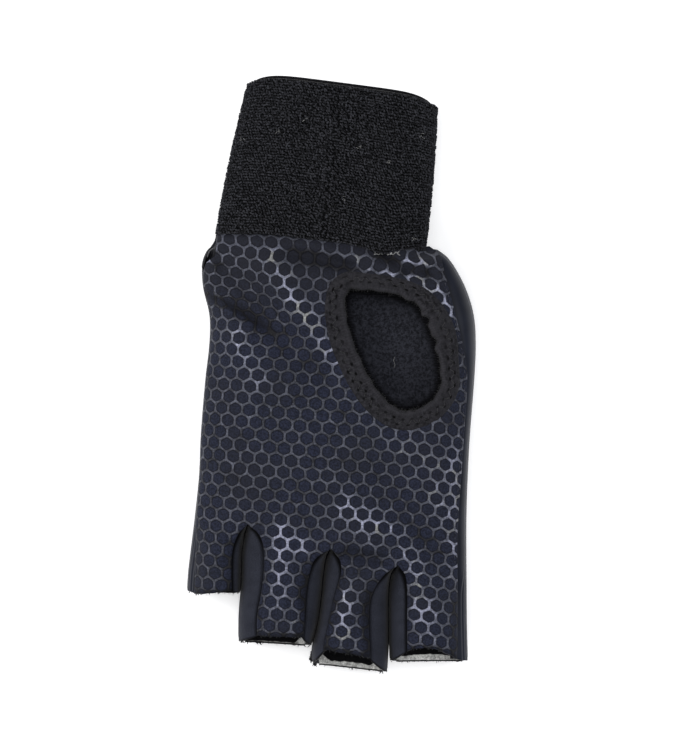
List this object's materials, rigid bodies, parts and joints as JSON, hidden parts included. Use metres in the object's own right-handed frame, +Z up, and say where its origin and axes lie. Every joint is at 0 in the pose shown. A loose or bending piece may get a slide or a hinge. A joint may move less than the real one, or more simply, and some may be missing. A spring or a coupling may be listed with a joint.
{
  "type": "field hockey glove",
  "caption": "Left-hand field hockey glove with half fingers: printed palm, bound thumb hole, stretch gussets, padded back and a loop-pile wrist cuff, lying palm up.",
  "frame": {"origin": "middle of the footprint's bounding box, on the surface that the padded back lies on", "axes": "+X towards the thumb side, +Y from the fingers to the wrist, +Z up, out of the palm"},
  "size_m": [0.107, 0.2208, 0.0277],
  "materials": {
    "printed_palm": "dark navy synthetic suede printed with a glossy grey-lavender honeycomb line pattern",
    "binding_knit": "matte dark grey knit with cover stitches",
    "stretch_knit": "plain navy-black stretch knit with a soft sheen",
    "coated_side": "smooth satin dark navy",
    "padded_back": "satin dark cloth over foam",
    "black_fleece": "matte black brushed knit",
    "grey_foam": "matte light grey lining cloth",
    "loop_pile": "matte black looped pile",
    "smooth_elastic": "smooth black elastic"
  },
  "bodies": {
    "root": {"palm_panel": "printed_palm", "thumb_binding": "binding_knit", "gusset_little_ring": "stretch_knit", "gusset_ring_middle": "stretch_knit", "gusset_middle_index": "stretch_knit", "side_panel_little": "coated_side", "side_panel_thumb": "coated_side", "padded_back": "padded_back", "hand_lining": "black_fleece", "finger_lining_little": "grey_foam", "finger_lining_ring": "grey_foam", "finger_lining_middle": "grey_foam", "finger_lining_index": "grey_foam", "cuff": "loop_pile", "cuff_lining": "smooth_elastic"}
  },
  "joints": []
}
